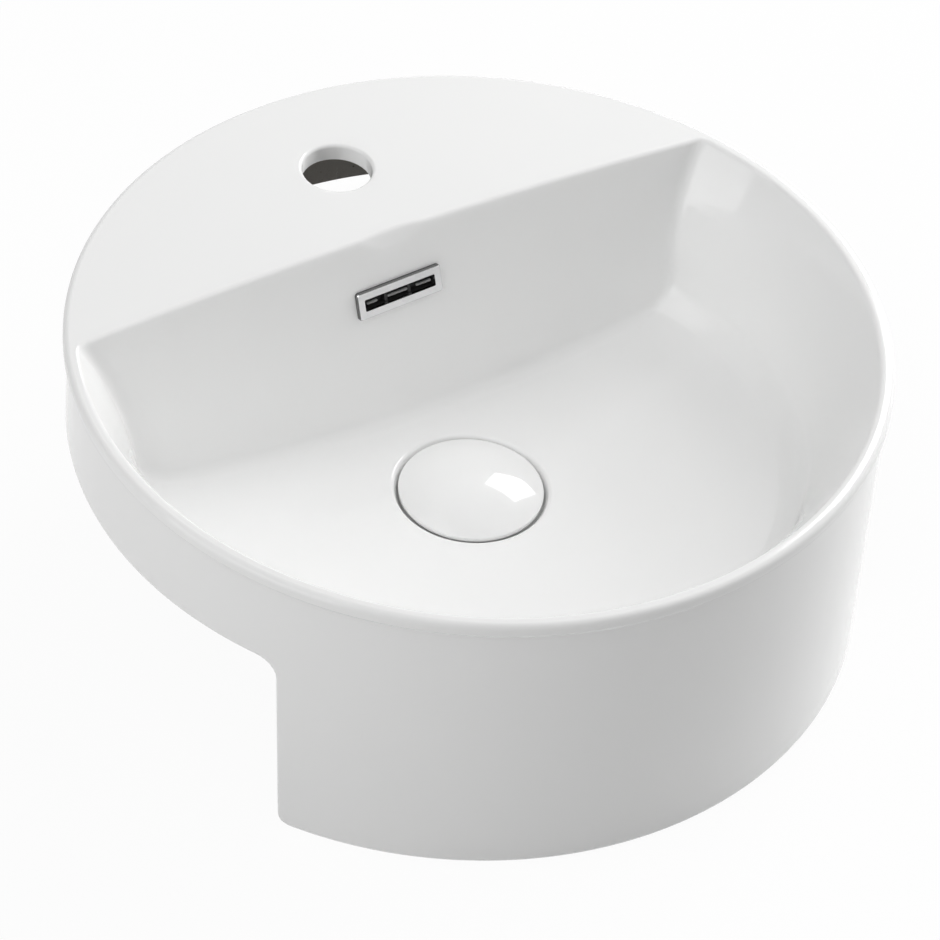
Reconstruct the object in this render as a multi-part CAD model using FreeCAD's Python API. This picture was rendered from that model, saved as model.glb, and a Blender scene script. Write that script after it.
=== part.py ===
"""Round semi recessed basin with a ceramic-capped click waste.

Millimetres, +Z up, +Y to the back. The origin is the centre of the round rim in plan, at the level of the apron's
lower edge. The front of the circle is a full-height apron. Behind the step only a shallow skirt is left, which
stands on the bench top, while the bowl hangs through the cut-out.
"""

import FreeCAD
import Part
import math
import os

# ---------------------------------------------------------------- basin, outside
basin_height = 160.0
rim_radius = 200.0
bead_overhang = 2.0  # the rim stands this far outside the wall
bead_height = 8.0
bead_round = 3.0
bead_neck_round = 2.0  # hollow round between bead and wall
outer_wall = 8.0
skirt_depth = 55.0  # rim top to the skirt's seat on the bench
step_y = -103.0  # step face where it meets the skirt
step_draft = 2.8  # degrees, the step face leans forward going down
step_corner_round = 9.0
apron_foot_round = 5.0
arris_round = 2.5  # skirt's lower edge and the step's upright edges
back_plate = 9.0

# ---------------------------------------------------------------- deck
deck_thickness = 9.0
ledge_y = 85.0  # front edge of the deck, on the centre line
ledge_arc_radius = 2400.0
tap_hole_y = 139.0
tap_hole_radius = 17.5
tap_hole_round = 1.8

# ---------------------------------------------------------------- bowl
rim_width = 6.5
bowl_depth = 99.0  # rim top to the floor on the basin's axis
floor_dish_radius = 715.0
side_foot_radius = 163.0
side_wall_bow = 2.3  # how far the side wall bends in from a straight line
side_foot_round = 14.0
back_wall_slope = 17.0  # degrees from upright
back_wall_round = 8.0
bowl_back_round = 12.0  # the same corner on the bowl's outside
lip_round = 3.0
lip_tilt = 19.0  # degrees, the walls' mean lean where they meet the rim
bowl_wall = 9.0

# ---------------------------------------------------------------- waste seat in the ceramic
waste_y = -4.0
seat_drop = 5.0  # floor level on the axis to the seat
recess_radius = 39.0
recess_seat_radius = 35.5
recess_lip_round = 2.5
boss_radius = 37.0
boss_height = 26.0

# ---------------------------------------------------------------- overflow
trim_depth = 33.0  # down the back wall, rim level to the trim's centre
trim_width = 48.0
trim_height = 15.0
trim_thickness = 2.2
trim_corner = 1.8
trim_bevel = 0.7
trim_turn = 2.5  # degrees, the pushed-in trim sits a little turned in its slot
trim_gap = 0.2
trim_window_width = 40.0
trim_window_height = 6.4
trim_window_corner = 0.8
sleeve_wall = 1.2
sleeve_depth = 9.0
sleeve_rib = 1.6
sleeve_sill = 2.2
slot_clearance = 1.4
duct_gap = 10.0
duct_width = 56.0
duct_skin = 7.0
duct_rise = 12.0  # duct's closed top above the trim's centre
duct_outlet_drop = 12.0  # waste seat to the middle of the duct's outlet

# ---------------------------------------------------------------- waste body
tube_radius = 20.95  # G 1 1/4 thread, over the crests
thread_depth = 1.15
waste_hole_clearance = 1.8  # round the thread
thread_pitch = 2.309
tube_wall = 1.2  # under the thread's root
strainer_ledge = 1.6  # width of the ledge in the tail
tail_clearance = 4.0  # tail's end above the apron's lower edge
gasket_thickness = 1.0
gasket_radius = 30.0
flange_radius = 31.5
flange_thickness = 1.8
flange_cone_radius = 25.0
flange_cone_slope = 0.35  # the cone's fall below the flange's underside, over its width
flange_cone_wall = 1.5  # across, between the cone and its outside
port_height = 12.0
port_width = 22.0
nut_fit = 0.2  # washers and nut over the thread's crests
washer_radius = 32.0
washer_thickness = 5.0
washer_taper = 3.0
slip_thickness = 1.4
nut_height = 9.0
nut_across_flats = 54.0

# ---------------------------------------------------------------- strainer cross and cartridge
cross_height = 8.0
cross_ring = 1.6
cross_fit = 0.1
cross_spokes = 4
spoke_thickness = 2.6
hub_wall = 2.0
ledge_below_seat = 30.0
housing_radius = 8.5
housing_bore_radius = 6.8
housing_collar_radius = 11.2
housing_collar = 2.0
housing_neck = 2.6
neck_fit = 0.2
housing_below_ledge = 8.0
plug_head = 1.4
plug_spigot = 3.0
plug_fit = 0.05
stem_radius = 3.5
stem_collar_radius = 6.4
stem_collar_height = 4.2
rotor_height = 4.6
tooth_count = 8
tooth_height = 0.9
tooth_gap = 0.15
spring_length = 9.2
spring_mean_radius = 5.2
spring_wire = 0.9
spring_turns = 5
cap_travel = 9.0
travel_clearance = 0.3
seal_section = 0.7
seal_fit = 0.1

# ---------------------------------------------------------------- cap
cap_radius = 36.0
cap_band = 2.6
cap_crown = 8.5
cap_wall = 4.0
cap_flat_radius = 25.0
cap_edge_round = 1.1
cap_edge_drop = 1.8  # cap's lower edge below the floor on the axis, when closed
bond_thickness = 0.5
bond_radius = 22.0
carrier_radius = 23.5
carrier_thickness = 2.4
carrier_boss_radius = 7.0
carrier_boss_height = 6.0
carrier_spigot_radius = 20.1  # the seal sits round this
carrier_spigot = 1.0
carrier_roof = 0.6  # left above the stem's socket
cap_seal_radius = 23.2
cap_seal_depth = 2.2
cap_seal_gap = 0.3  # from the flange's cone, cap closed

# ---------------------------------------------------------------- levels that follow from the sizes above
wall_radius = rim_radius - bead_overhang
hollow_radius = wall_radius - outer_wall
bench_z = basin_height - skirt_depth
hollow_z = basin_height - deck_thickness
floor_z = basin_height - bowl_depth
seat_z = floor_z - seat_drop
boss_z = seat_z - boss_height
waste_hole_radius = tube_radius + waste_hole_clearance
tube_root_radius = tube_radius - thread_depth
tube_bore_radius = tube_root_radius - tube_wall
tube_lower_bore_radius = tube_bore_radius - strainer_ledge
slope = math.radians(back_wall_slope)
REACH = 2.0 * rim_radius  # long enough to pass right through the basin
BELOW = 10.0  # how far the cutting solids run out below the apron
BOWL_LID = 4.0  # how far the bowl's room runs out above the rim
NEAR = 0.02
OFF_SEAM = -53  # degrees, for a turned tool that would otherwise share its seam with the bowl's

V = FreeCAD.Vector
X_AXIS = V(1, 0, 0)
Z_AXIS = V(0, 0, 1)
ORIGIN = V(0, 0, 0)
WASTE = V(0, waste_y, 0)


# ================================================================ drawing helpers
def rounded_edges(points, rounds=None, closed=True):
    """Edges through 3-D points, with each corner turned by an arc of the radius given for it."""
    count = len(points)
    rounds = rounds or [0.0] * count
    arrive, leave, arcs = [], [], []
    for i, corner in enumerate(points):
        before, after = points[i - 1], points[(i + 1) % count]
        radius = rounds[i]
        if radius <= 0 or (not closed and i in (0, count - 1)):
            arrive.append(corner)
            leave.append(corner)
            arcs.append(None)
            continue
        back = (before - corner).normalize()
        on = (after - corner).normalize()
        half = back.getAngle(on) / 2
        run = radius / math.tan(half)
        middle = (back + on).normalize()
        centre = corner + middle * (radius / math.sin(half))
        arrive.append(corner + back * run)
        leave.append(corner + on * run)
        arcs.append(Part.Arc(arrive[i], centre - middle * radius, leave[i]))
    edges = []
    for i in range(count if closed else count - 1):
        nxt = (i + 1) % count
        if arcs[i] is not None:
            edges.append(arcs[i].toShape())
        if leave[i].distanceToPoint(arrive[nxt]) > 1e-6:
            edges.append(Part.LineSegment(leave[i], arrive[nxt]).toShape())
    return edges


def flat_face(points, rounds=None):
    """A closed face through points, with rounded corners where a radius is given."""
    return Part.Face(Part.Wire(rounded_edges(points, rounds)))


def turned_face(edges, centre=ORIGIN, seam=-90):
    """A solid of revolution from ready edges in the XZ plane, with its seam turned to the front."""
    solid = Part.Face(Part.Wire(edges)).revolve(ORIGIN, Z_AXIS, 360)
    solid.rotate(ORIGIN, Z_AXIS, seam)
    solid.translate(centre)
    return solid


def turned(profile, rounds=None, centre=ORIGIN, seam=-90):
    """A solid of revolution about the upright axis through centre, from (radius, height) pairs."""
    return turned_face(rounded_edges([V(r, 0, z) for r, z in profile], rounds), centre, seam)


def edge_middle(edge):
    """The point halfway along an edge's parameter."""
    return edge.valueAt((edge.FirstParameter + edge.LastParameter) / 2)


def disc(radius, low, high, centre=ORIGIN):
    """An upright cylinder between two heights."""
    return Part.makeCylinder(radius, high - low, centre + V(0, 0, low))


def ring(inner, outer, low, high, centre=ORIGIN):
    """An upright tube between two heights."""
    return disc(outer, low, high, centre).cut(disc(inner, low - 1, high + 1, centre))


def side_profile_solid(points, half_width, rounds=None):
    """A (y, z) outline extruded along X, to both sides of the centre plane."""
    face = flat_face([V(-half_width, y, z) for y, z in points], rounds)
    return face.extrude(V(2 * half_width, 0, 0))


def box(low, high):
    """A box between two corners."""
    return Part.makeBox(high[0] - low[0], high[1] - low[1], high[2] - low[2], V(*low))


def on_back_wall(down, behind):
    """(y, z) of a point on the centre line: down the back wall from the rim plane, and behind its surface."""
    y = ledge_y - down * math.sin(slope) + behind * math.cos(slope)
    z = basin_height - down * math.cos(slope) - behind * math.sin(slope)
    return y, z


def strip(path, half_gap):
    """The closed outline of a bent strip of even thickness along a (y, z) path."""
    left, right = [], []
    for i, here in enumerate(path):
        before = path[max(i - 1, 0)]
        after = path[min(i + 1, len(path) - 1)]
        first = V(here[0] - before[0], here[1] - before[1], 0) if i else V(after[0] - here[0], after[1] - here[1], 0)
        last = V(after[0] - here[0], after[1] - here[1], 0) if i < len(path) - 1 else first
        first.normalize()
        last.normalize()
        normal = (V(-first.y, first.x, 0) + V(-last.y, last.x, 0)).normalize()
        reach = half_gap / normal.dot(V(-first.y, first.x, 0))
        left.append((here[0] + normal.x * reach, here[1] + normal.y * reach))
        right.append((here[0] - normal.x * reach, here[1] - normal.y * reach))
    return left + right[::-1]


def edges_between(solid, low, high, test=lambda edge: True):
    """Edges of a solid whose whole length lies between two heights and which pass the test."""
    found = []
    for edge in solid.Edges:
        extent = edge.BoundBox
        if extent.ZMin >= low and extent.ZMax <= high and test(edge):
            found.append(edge)
    return found


# ================================================================ basin
def outer_envelope():
    """The basin's outside: a turned drum with a rim bead, stepped up to the skirt behind the apron."""
    neck_z = basin_height - bead_height
    drum = turned(
        [
            (0, 0),
            (wall_radius, 0),
            (wall_radius, neck_z),
            (rim_radius, neck_z + bead_overhang),
            (rim_radius, basin_height),
            (0, basin_height),
        ],
        [0, 0, bead_neck_round, bead_neck_round / 2, bead_round, 0],
    )
    keep = side_profile_solid(
        step_face(0) + [(REACH, bench_z), (REACH, basin_height + 1), (-REACH, basin_height + 1), (-REACH, -BELOW)],
        REACH,
        [0, step_corner_round, 0, 0, 0, 0],
    )
    stepped = drum.common(keep)
    arrises = []
    for edge in stepped.Edges:
        middle = edge_middle(edge)
        on_wall = abs(math.hypot(middle.x, middle.y) - wall_radius) < NEAR
        on_step = edge.BoundBox.ZMax < bench_z + NEAR and edge.BoundBox.ZMax > NEAR
        if on_wall and on_step:
            arrises.append(edge)
    stepped = stepped.makeFillet(arris_round, arrises)
    foot = [edge for edge in stepped.Edges if edge.BoundBox.ZMax < NEAR]
    return stepped.makeFillet(apron_foot_round, foot)


def step_face(setback):
    """The drafted step face as two (y, z) points, from below the apron up to the skirt, set forward of it."""
    lean = math.tan(math.radians(step_draft))
    return [(step_y - (bench_z + BELOW) * lean - setback, -BELOW), (step_y - setback, bench_z)]


def bowl_drum(offset):
    """The turned part of the bowl's room, grown outward by an offset: side wall, foot round and dished floor."""
    top_radius = rim_radius - rim_width + offset
    foot_radius = side_foot_radius + offset
    dish = floor_dish_radius + offset
    centre_z = floor_z - offset + dish

    def dish_point(radius):
        return V(radius, 0, centre_z - math.sqrt(dish ** 2 - radius ** 2))

    top = V(top_radius, 0, basin_height)
    foot = dish_point(foot_radius)
    flat = dish_point(recess_seat_radius / 2)  # the waste's recess takes this flat spot away again
    bend = (foot - top).cross(V(0, 1, 0)).normalize() * side_wall_bow
    if bend.x > 0:
        bend = bend * -1
    lid = basin_height + BOWL_LID
    corners = [flat, V(0, 0, flat.z), V(0, 0, lid), V(top_radius, 0, lid), top]
    edges = [
        Part.Arc(top, (top + foot) * 0.5 + bend, foot).toShape(),
        Part.Arc(foot, dish_point(foot_radius / 2), flat).toShape(),
    ]
    edges += [Part.LineSegment(corners[i], corners[i + 1]).toShape() for i in range(4)]
    drum = turned_face(edges)
    foot_edge = [
        edge for edge in drum.Edges
        if edge.BoundBox.ZLength < NEAR and abs(edge.BoundBox.ZMin - foot.z) < NEAR and edge.Length > foot_radius
    ]
    return drum.makeFillet(side_foot_round + offset, foot_edge)


def back_wall_cylinder(offset):
    """Axis point, axis direction and radius of the large slanted cylinder that forms the bowed back wall."""
    along = V(0, math.sin(slope), math.cos(slope))
    across = V(0, math.cos(slope), -math.sin(slope))
    middle = V(0, ledge_y, basin_height) - across * ledge_arc_radius
    return middle, along, ledge_arc_radius + offset


def rounded_bowl(offset, wall_round):
    """The bowl's room grown outward by an offset, as one solid with a round foot and round corners."""
    middle, along, radius = back_wall_cylinder(offset)
    length = 4 * basin_height
    big = Part.makeCylinder(radius, length, middle - along * (length / 2), along)
    big.rotate(middle, along, 180)
    room = bowl_drum(offset).common(big)
    wall_edges = []
    for edge in room.Edges:
        arm = edge_middle(edge) - middle
        arm = arm - along * arm.dot(along)
        if abs(arm.Length - radius) < NEAR and edge.BoundBox.ZMin < basin_height + BOWL_LID - NEAR:
            wall_edges.append(edge)
    return room.makeFillet(wall_round, wall_edges)


def lip_cutter(loop):
    """What is taken off the top edge loop of the bowl: the corner outside a round, swept along the loop."""
    tilt = math.radians(lip_tilt)
    down = V(-math.sin(tilt), 0, -math.cos(tilt))
    half = (math.pi / 2 + tilt) / 2
    run = lip_round / math.tan(half)
    outer = X_AXIS * run
    lower = down * run
    bisector = (X_AXIS + down).normalize()
    middle = bisector * (lip_round / math.sin(half) - lip_round)
    past = lower + down * (run / 4) + V(-run / 16, 0, 0)
    inner_x = past.x - lip_round
    profile = [
        Part.Arc(outer, middle, lower).toShape(),
        Part.LineSegment(lower, past).toShape(),
        Part.LineSegment(past, V(inner_x, 0, past.z)).toShape(),
        Part.LineSegment(V(inner_x, 0, past.z), V(inner_x, 0, lip_round)).toShape(),
        Part.LineSegment(V(inner_x, 0, lip_round), V(run, 0, lip_round)).toShape(),
        Part.LineSegment(V(run, 0, lip_round), outer).toShape(),
    ]
    spine = Part.Wire(Part.__sortEdges__(loop))
    first = spine.Edges[0]
    at = first.valueAt(first.FirstParameter)
    across = first.tangentAt(first.FirstParameter).cross(Z_AXIS).normalize()
    if across.dot(V(-at.x, -at.y, 0)) > 0:
        across = across * -1
    place = FreeCAD.Placement(at, FreeCAD.Rotation(X_AXIS, across))
    section = Part.Wire(profile)
    section.Placement = place
    sweep = Part.BRepOffsetAPI.MakePipeShell(spine)
    sweep.setBiNormalMode(Z_AXIS)
    sweep.add(section, False, False)
    sweep.build()
    sweep.makeSolid()
    return sweep.shape()


def overflow_path():
    """Middle line of the duct in the centre plane: behind the back wall, under the floor, into the waste hole."""
    outlet_z = seat_z - duct_outlet_drop
    behind = bowl_wall + duct_gap / 2
    top = on_back_wall(trim_depth - duct_rise, behind)
    along = (-math.sin(slope), -math.cos(slope))
    elbow_z = outlet_z + duct_gap / 2
    run = (elbow_z - top[1]) / along[1]
    elbow = (top[0] + along[0] * run, elbow_z)
    return [top, elbow, (waste_y + waste_hole_radius, outlet_z)]


def duct_solid(grow):
    """The duct's room, or with a skin added its outside, as one bent strip."""
    path = overflow_path()
    (ty, tz), (ey, ez), (wy, wz) = path
    up = V(ty - ey, tz - ez, 0).normalize() * grow
    inward = V(wy - ey, wz - ez, 0).normalize() * (waste_hole_radius / 2)
    path = [(ty + up.x, tz + up.y), (ey, ez), (wy + inward.x, wz + inward.y)]
    half_gap = duct_gap / 2 + grow
    outline = strip(path, half_gap)
    bend = duct_gap / 2
    rounds = [2, bend + grow, 0, 0, bend, 2] if grow else [1, bend, 0, 0, bend, 1]
    return side_profile_solid(outline, duct_width / 2 + grow, rounds)


def wall_frame(shape):
    """Moves a piece drawn about the origin, face towards -Y, onto the back wall at the trim's centre."""
    shape.rotate(ORIGIN, V(0, 1, 0), -trim_turn)
    shape.rotate(ORIGIN, X_AXIS, -back_wall_slope)
    y, z = on_back_wall(trim_depth, 0)
    shape.translate(V(0, y, z))
    return shape


def basin_body():
    """The fired ceramic piece."""
    rear = side_profile_solid(step_face(0) + [(step_y, hollow_z), (REACH, hollow_z), (REACH, -BELOW)], REACH)
    front = side_profile_solid(
        step_face(back_plate) + [(step_y - back_plate, hollow_z), (-REACH, hollow_z), (-REACH, -BELOW)], REACH
    )
    core = disc(hollow_radius, -BELOW, hollow_z)
    shell = outer_envelope().cut(core.common(rear)).cut(core.common(front))

    clip = disc(hollow_radius + outer_wall / 2, -BELOW, basin_height - deck_thickness / 2)
    boss = disc(boss_radius, boss_z, seat_z - 1, WASTE)
    body = shell.fuse([rounded_bowl(bowl_wall, bowl_back_round).common(clip), boss, duct_solid(duct_skin)])
    body = body.cut(rounded_bowl(0.0, back_wall_round))

    loop = []
    for edge in body.Edges:
        middle = edge_middle(edge)
        inside_rim = math.hypot(middle.x, middle.y) < hollow_radius + outer_wall / 2
        if edge.BoundBox.ZMin > basin_height - NEAR and inside_rim:
            loop.append(edge)
    body = body.cut(lip_cutter(loop))

    level = floor_z + recess_radius ** 2 / (2 * floor_dish_radius)
    recess = turned(
        [(0, seat_z), (recess_seat_radius, seat_z), (recess_radius, level + 0.5), (recess_radius, level + 6),
         (0, level + 6)],
        [0, 2.0, 0, 0, 0], WASTE, OFF_SEAM,
    )
    hole = disc(waste_hole_radius, boss_z - 5, seat_z + 5, WASTE)
    half_w = trim_window_width / 2 + sleeve_wall + slot_clearance
    half_h = trim_window_height / 2 + sleeve_wall + slot_clearance
    slot = wall_frame(box((-half_w, -bowl_wall, -half_h), (half_w, bowl_wall + duct_gap / 2, half_h)))
    tap = disc(tap_hole_radius, hollow_z - 20, basin_height + 5, V(0, tap_hole_y, 0))
    body = body.cut(recess).cut(hole).cut(duct_solid(0)).cut(slot).cut(tap)

    mouth = [
        edge for edge in body.Edges
        if edge.BoundBox.ZMin > basin_height - NEAR and abs(edge.BoundBox.XLength - 2 * tap_hole_radius) < NEAR
    ]
    body = body.makeFillet(tap_hole_round, mouth)
    lip = [
        edge for edge in body.Edges
        if floor_z < edge.BoundBox.ZMin < basin_height / 2 and abs(edge.BoundBox.XMax - recess_radius) < 0.5
    ]
    return body.makeFillet(recess_lip_round, lip)


# ================================================================ overflow trim and sleeve
def overflow_trim():
    """The chrome frame: a thin plate with round corners, bevelled front edge and one long window."""
    back, face = -trim_gap, -trim_gap - trim_thickness
    half_w, half_h = trim_width / 2, trim_height / 2
    outline = [V(-half_w, back, -half_h), V(half_w, back, -half_h), V(half_w, back, half_h), V(-half_w, back, half_h)]
    plate = flat_face(outline, [trim_corner] * 4).extrude(V(0, face - back, 0))
    front_edges = [edge for edge in plate.Edges if edge.BoundBox.YMax < face + 0.01]
    plate = plate.makeChamfer(trim_bevel, front_edges)
    w, h = trim_window_width / 2, trim_window_height / 2
    hole = [V(-w, back + 1, -h), V(w, back + 1, -h), V(w, back + 1, h), V(-w, back + 1, h)]
    window = flat_face(hole, [trim_window_corner] * 4).extrude(V(0, face - back - 2, 0))
    return wall_frame(plate.cut(window))


def overflow_sleeve():
    """The black sleeve behind the trim: a short box tube with a sill and two ribs, which leave three windows."""
    w, h = trim_window_width / 2, trim_window_height / 2
    front = -trim_gap
    outer = box((-w - sleeve_wall, front, -h - sleeve_wall), (w + sleeve_wall, front + sleeve_depth, h + sleeve_wall))
    sleeve = outer.cut(box((-w, front - 1, -h), (w, front + sleeve_depth + 1, h)))
    sill_depth = sleeve_depth / 2
    sleeve = sleeve.fuse(box((-w, front + sill_depth, -h), (w, front + sleeve_depth, -h + sleeve_sill)))
    bay = trim_window_width / 3
    for i in (1, 2):
        x = -w + i * bay
        sleeve = sleeve.fuse(box((x - sleeve_rib / 2, front + 1.0, -h), (x + sleeve_rib / 2, front + sleeve_depth, h)))
    return wall_frame(sleeve.removeSplitter())


# ================================================================ waste, below the floor
flange_low = seat_z + gasket_thickness
flange_top = flange_low + flange_thickness
tail_z = tail_clearance
ledge_z = seat_z - ledge_below_seat
duct_outlet_z = seat_z - duct_outlet_drop
throat_z = flange_low - (flange_cone_radius - tube_bore_radius) * flange_cone_slope
cone_pitch = (flange_top - throat_z) / (flange_cone_radius - tube_bore_radius)
cone_foot_radius = tube_bore_radius + (flange_low - throat_z) / cone_pitch + flange_cone_wall
cone_foot_z = throat_z + (tube_root_radius - flange_cone_wall - tube_bore_radius) * cone_pitch


def waste_body():
    """Flange and threaded tail in one piece, with a ledge for the cross and two ports for the overflow."""
    tail = turned(
        [
            (tube_lower_bore_radius, tail_z),
            (tube_root_radius, tail_z),
            (tube_root_radius, cone_foot_z),
            (cone_foot_radius, flange_low),
            (flange_radius, flange_low),
            (flange_radius, flange_top),
            (flange_cone_radius, flange_top),
            (tube_bore_radius, throat_z),
            (tube_bore_radius, ledge_z),
            (tube_lower_bore_radius, ledge_z),
        ],
        [0, 0, 0, 0, 0, flange_thickness / 2, 1.5, 2.0, 0, 0],
        WASTE,
    )
    thread_top = duct_outlet_z - port_height / 2 - 1
    turns = int((thread_top - tail_z) / thread_pitch)
    crests = []
    for i in range(turns):
        low = tail_z + i * thread_pitch
        crest = turned(
            [
                (tube_root_radius - 0.5, low),
                (tube_root_radius, low),
                (tube_radius, low + thread_pitch * 0.38),
                (tube_radius, low + thread_pitch * 0.55),
                (tube_root_radius, low + thread_pitch * 0.93),
                (tube_root_radius - 0.5, low + thread_pitch * 0.93),
            ],
            None, WASTE,
        )
        crests.append(crest)
    body = tail.fuse(crests)
    ports = box(
        (-port_width / 2, waste_y - tube_radius - 5, duct_outlet_z - port_height / 2),
        (port_width / 2, waste_y + tube_radius + 5, duct_outlet_z + port_height / 2),
    )
    return body.cut(ports)


def flange_gasket():
    """Soft ring that the flange presses on the seat."""
    return ring(cone_foot_radius + nut_fit, gasket_radius, seat_z, flange_low, WASTE)


def lower_washer():
    """Rubber washer under the boss, tapered towards the hole."""
    top = boss_z
    inner = tube_radius + nut_fit
    return turned(
        [
            (inner, top - washer_thickness),
            (washer_radius, top - washer_thickness),
            (washer_radius, top - washer_taper),
            (washer_radius - washer_taper, top),
            (inner, top),
        ],
        [0, 0.8, 0.8, 0, 0], WASTE,
    )


def slip_washer():
    """Hard ring between rubber and nut."""
    high = boss_z - washer_thickness
    return ring(tube_radius + nut_fit, washer_radius, high - slip_thickness, high, WASTE)


def lock_nut():
    """Six-sided back nut with a round flange at its top."""
    high = boss_z - washer_thickness - slip_thickness
    low = high - nut_height
    corner = nut_across_flats / 2 / math.cos(math.pi / 6)
    points = [
        V(corner * math.cos(math.pi / 3 * i), corner * math.sin(math.pi / 3 * i), low) for i in range(6)
    ]
    hexagon = flat_face(points).extrude(V(0, 0, nut_height))
    hexagon.translate(WASTE)
    bevel = turned(
        [(0, low), (corner - 2.5, low), (corner + 0.5, low + 1.8), (corner + 0.5, high), (0, high)], None, WASTE,
    )
    flange = disc(washer_radius - 1.5, high - 2.2, high, WASTE)
    bore = disc(tube_radius + nut_fit, low - 1, high + 1, WASTE)
    return hexagon.common(bevel).fuse(flange).removeSplitter().cut(bore)


# ================================================================ click cartridge
hub_radius = housing_radius + cross_fit + hub_wall
housing_low = ledge_z - housing_below_ledge
collar_low = ledge_z + cross_height
spring_low = housing_low + plug_spigot
rotor_low = spring_low + spring_length
rotor_top = rotor_low + rotor_height
stem_low = rotor_top + tooth_gap
collar_top = stem_low + stem_collar_height
neck_low = collar_top + cap_travel + travel_clearance
housing_top = neck_low + housing_neck


def strainer_cross():
    """Ring, hub and spokes that carry the cartridge in the tail."""
    outer = tube_bore_radius - cross_fit
    low, high = ledge_z, ledge_z + cross_height
    cross = ring(outer - cross_ring, outer, low, high, WASTE).fuse(
        ring(housing_radius + cross_fit, hub_radius, low, high, WASTE)
    )
    for i in range(cross_spokes):
        spoke = box(
            (hub_radius - 0.6, -spoke_thickness / 2, low + 1), (outer - cross_ring + 0.4, spoke_thickness / 2, high)
        )
        spoke.rotate(ORIGIN, Z_AXIS, 45 + 360 / cross_spokes * i)
        spoke.translate(WASTE)
        cross = cross.fuse(spoke)
    return cross.removeSplitter()


def cartridge_housing():
    """The cartridge's case: a tube with a collar that rests on the hub and a neck that stops the stem."""
    neck_bore = stem_radius + neck_fit
    seal_mid = neck_low + housing_neck / 2
    groove = stem_radius + seal_fit + 2 * seal_section + 0.05
    return turned(
        [
            (housing_bore_radius, housing_low),
            (housing_radius, housing_low),
            (housing_radius, collar_low),
            (housing_collar_radius, collar_low),
            (housing_collar_radius, collar_low + housing_collar),
            (housing_radius, collar_low + housing_collar),
            (housing_radius, housing_top),
            (neck_bore, housing_top),
            (neck_bore, seal_mid + seal_section + 0.05),
            (groove, seal_mid + seal_section + 0.05),
            (groove, seal_mid - seal_section - 0.05),
            (neck_bore, seal_mid - seal_section - 0.05),
            (neck_bore, neck_low),
            (housing_bore_radius, neck_low),
        ],
        [0, 0.6, 0, 0.5, 0.5, 0, 1.2, 0, 0, 0, 0, 0, 0, 0],
        WASTE,
    )


def cartridge_plug():
    """Snap-in plug that closes the housing and carries the spring."""
    head = disc(housing_radius - 0.4, housing_low - plug_head, housing_low, WASTE)
    spigot = ring(2.0, housing_bore_radius - plug_fit, housing_low, spring_low, WASTE)
    drain = disc(2.0, housing_low - plug_head - 1, housing_low + 1, WASTE)
    return head.fuse(spigot).cut(drain)


def click_spring():
    """Compression spring between plug and rotor, with its ends ground flat."""
    usable = spring_length - spring_wire
    pitch = usable / spring_turns
    path = Part.makeHelix(pitch, usable, spring_mean_radius)
    path.translate(V(0, waste_y, spring_low + spring_wire / 2))
    start = V(spring_mean_radius, waste_y, spring_low + spring_wire / 2)
    section = Part.Wire(Part.makeCircle(spring_wire / 2 - 0.02, start, V(0, 1, 0)))
    return Part.Wire(path).makePipeShell([section], True, True)


def tooth_ring(inner, outer, low, height, phase):
    """A ring of pointed teeth, standing on a level."""
    teeth = []
    step = 360.0 / tooth_count
    half = math.radians(step) * outer / 2 * 0.9
    for i in range(tooth_count):
        face = flat_face([V(inner - 1, -half, low), V(inner - 1, half, low), V(inner - 1, 0, low + height)])
        tooth = face.extrude(V(outer - inner + 2, 0, 0))
        tooth.rotate(ORIGIN, Z_AXIS, step * i + phase)
        teeth.append(tooth)
    body = teeth[0].fuse(teeth[1:])
    low_z, high_z = sorted((low, low + height))
    return body.common(ring(inner, outer, low_z - 0.01, high_z + 0.01))


def click_rotor():
    """The ring that turns one step for each push, with teeth on its upper face."""
    inner, outer = 2.6, stem_collar_radius - 0.2
    base = ring(inner, outer, rotor_low, rotor_top - tooth_height)
    teeth = tooth_ring(inner, outer, rotor_top - tooth_height, tooth_height, 0)
    rotor = base.fuse(teeth).removeSplitter()
    rotor.translate(WASTE)
    return rotor


def click_stem():
    """The plunger: a toothed collar inside the housing, and a rod up into the carrier."""
    top = carrier_top - carrier_roof
    collar = disc(stem_collar_radius, stem_low + tooth_height, collar_top)
    teeth = tooth_ring(2.6, stem_collar_radius - 0.2, stem_low + tooth_height, -tooth_height, 180.0 / tooth_count)
    rod = disc(stem_radius, collar_top - 1, top)
    pilot = disc(2.3, rotor_low + 0.6, stem_low + tooth_height + 0.5)
    stem = collar.fuse([teeth, rod, pilot]).removeSplitter()
    stem.translate(WASTE)
    return stem


def stem_seal():
    """Ring in the neck's groove, round the stem."""
    seal = Part.makeTorus(stem_radius + seal_fit + seal_section, seal_section)
    seal.translate(WASTE + V(0, 0, neck_low + housing_neck / 2))
    return seal


# ================================================================ cap
cap_low = floor_z - cap_edge_drop
cap_shoulder = cap_low + cap_band
cap_top = cap_shoulder + cap_crown
cap_sphere = (cap_radius ** 2 + cap_crown ** 2) / (2 * cap_crown)
cap_flat_z = cap_top - cap_wall - (cap_sphere - math.sqrt(cap_sphere ** 2 - cap_flat_radius ** 2)) - 0.1
carrier_top = cap_flat_z - bond_thickness
carrier_low = carrier_top - carrier_thickness


def dome_height(radius, drop=0.0):
    """Height of the cap's domed top, or of its underside at a drop below it, at a radius."""
    return cap_top - drop - (cap_sphere - math.sqrt(cap_sphere ** 2 - radius ** 2))


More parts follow.
